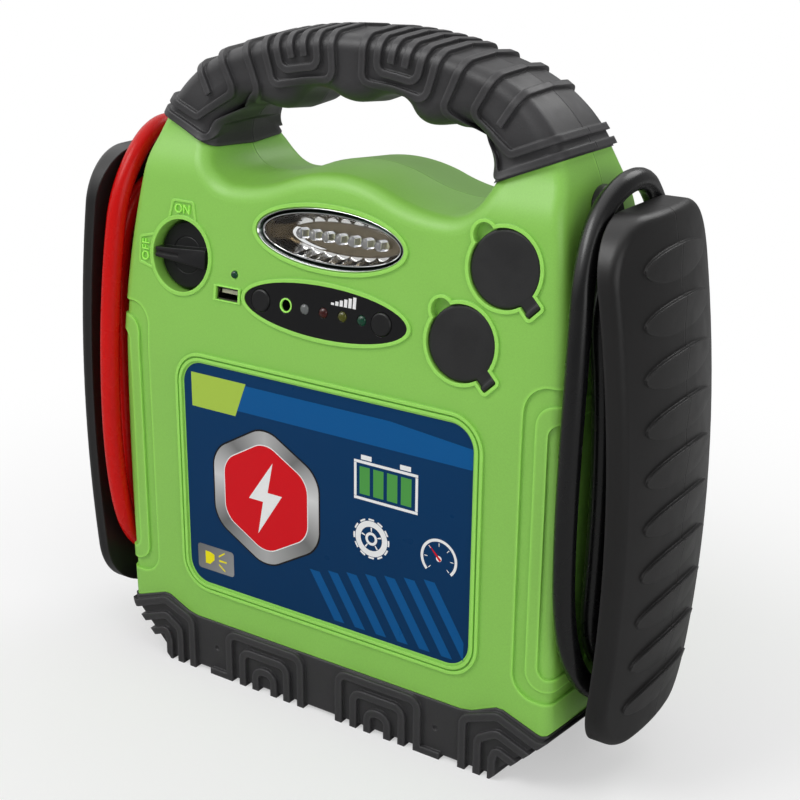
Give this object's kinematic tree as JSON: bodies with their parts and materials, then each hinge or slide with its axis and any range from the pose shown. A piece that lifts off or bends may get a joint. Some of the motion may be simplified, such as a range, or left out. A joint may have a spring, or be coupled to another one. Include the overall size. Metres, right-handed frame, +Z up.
{
  "type": "jump starter pack",
  "caption": "Jump starter pack with a hand grip, work lamp, capped 12 V sockets, turning isolator and side arms that hold two wound leads.",
  "frame": {"origin": "on the floor under the middle of the pack, where the two shells part", "axes": "+Z up, +X to the right of someone who faces the panel, -Y out of the front panel"},
  "size_m": [0.3362, 0.1294, 0.3388],
  "materials": {
    "green_plastic": "moulded, fine satin",
    "black_rubber": "moulded, satin",
    "black_plastic": "moulded, satin",
    "red_plastic": "moulded",
    "gloss_panel": "gloss",
    "label": "printed film",
    "steel": "zinc plated",
    "chrome": "vacuum plated",
    "brass": "turned",
    "aluminium": "cast",
    "clear_lens": "clear",
    "red_lens": "tinted",
    "yellow_lens": "tinted",
    "green_lens": "tinted",
    "board": "laminate",
    "battery_case": "moulded",
    "dial": "printed",
    "black_jacket": "extruded",
    "red_jacket": "extruded"
  },
  "bodies": {
    "case": {"front_shell": "green_plastic", "rear_shell": "green_plastic", "case_screws": "steel", "grip_front": "black_rubber", "grip_rear": "black_rubber", "bumper_front": "black_rubber", "bumper_rear": "black_rubber", "foot_pad": "black_rubber", "park_lugs": "green_plastic", "side_arm_front_right": "black_plastic", "side_arm_front_left": "black_plastic", "side_arm_rear_right": "black_plastic", "side_arm_rear_left": "black_plastic", "label_plate": "label", "isolator_switch": "black_plastic", "lamp_reflector": "chrome", "lamp_lens": "clear_lens", "lamp_leds": "clear_lens", "control_panel": "gloss_panel", "control_board": "board", "polarity_led": "clear_lens", "low_led": "red_lens", "medium_led": "yellow_lens", "full_led": "green_lens", "charging_jack": "black_plastic", "usb_socket": "steel", "usb_tongue": "black_plastic", "usb_led": "green_lens", "lower_socket": "black_plastic", "upper_socket": "black_plastic", "battery": "battery_case", "battery_terminals": "brass", "battery_clamp_bar": "black_plastic", "compressor_motor": "steel", "compressor_pump": "aluminium", "gauge_body": "black_plastic", "gauge_dial": "dial", "gauge_lens": "clear_lens", "rocker_frame": "black_plastic", "hose_outlet": "brass", "black_lead": "black_jacket", "black_lead_gland": "black_rubber", "black_clamp_fixed_jaw": "black_plastic", "black_clamp_pin": "steel", "red_lead": "red_jacket", "red_lead_gland": "black_rubber", "red_clamp_fixed_jaw": "red_plastic", "red_clamp_pin": "steel"},
    "isolator_knob": {"isolator_knob": "black_plastic"},
    "lamp_button": {"lamp_button": "black_rubber"},
    "battery_button": {"battery_button": "black_rubber"},
    "lower_socket_cap": {"lower_socket_cap": "black_rubber"},
    "upper_socket_cap": {"upper_socket_cap": "black_rubber"},
    "compressor_rocker": {"compressor_rocker": "black_plastic"},
    "gauge_needle": {"gauge_needle": "red_plastic"},
    "black_clamp_moving_jaw": {"black_clamp_moving_jaw": "black_plastic"},
    "red_clamp_moving_jaw": {"red_clamp_moving_jaw": "red_plastic"}
  },
  "joints": [
    {"name": "isolator_turn", "type": "hinge", "parent": "case", "child": "isolator_knob", "pos_m": [-0.0885, -0.038, 0.22455], "axis": [0, 0.9925, -0.1219], "range_deg": [0, 90]},
    {"name": "lamp_button_press", "type": "slide", "parent": "case", "child": "lamp_button", "axis": [0, 0.9925, -0.1219], "range_m": [0, 0.0012], "stiffness_N_per_m": 800, "springref_m": -0.0006},
    {"name": "battery_button_press", "type": "slide", "parent": "case", "child": "battery_button", "axis": [0, 0.9925, -0.1219], "range_m": [0, 0.0012], "stiffness_N_per_m": 800, "springref_m": -0.0006},
    {"name": "lower_cap_open", "type": "hinge", "parent": "case", "child": "lower_socket_cap", "pos_m": [0.09046, -0.04577, 0.1941], "axis": [0.7071, 0.0862, 0.7018], "range_deg": [0, 110]},
    {"name": "upper_cap_open", "type": "hinge", "parent": "case", "child": "upper_socket_cap", "pos_m": [0.10856, -0.04142, 0.2295], "axis": [0.7071, 0.0862, 0.7018], "range_deg": [0, 110]},
    {"name": "compressor_switch", "type": "hinge", "parent": "case", "child": "compressor_rocker", "pos_m": [0.006, 0.02956, 0.21123], "axis": [1, 0, 0], "range_deg": [0, 16]},
    {"name": "gauge_sweep", "type": "hinge", "parent": "case", "child": "gauge_needle", "pos_m": [-0.034, 0.037, 0.21215], "axis": [0, -0.9925, -0.1219], "range_deg": [0, 270]},
    {"name": "black_clamp_open", "type": "hinge", "parent": "case", "child": "black_clamp_moving_jaw", "pos_m": [0.11, 0.065, 0.19], "axis": [0, -1, 0], "range_deg": [0, 14], "stiffness_Nm_per_rad": 1, "springref_deg": -17.19},
    {"name": "red_clamp_open", "type": "hinge", "parent": "case", "child": "red_clamp_moving_jaw", "pos_m": [-0.11, 0.065, 0.19], "axis": [0, 1, 0], "range_deg": [0, 14], "stiffness_Nm_per_rad": 1, "springref_deg": -17.19}
  ]
}
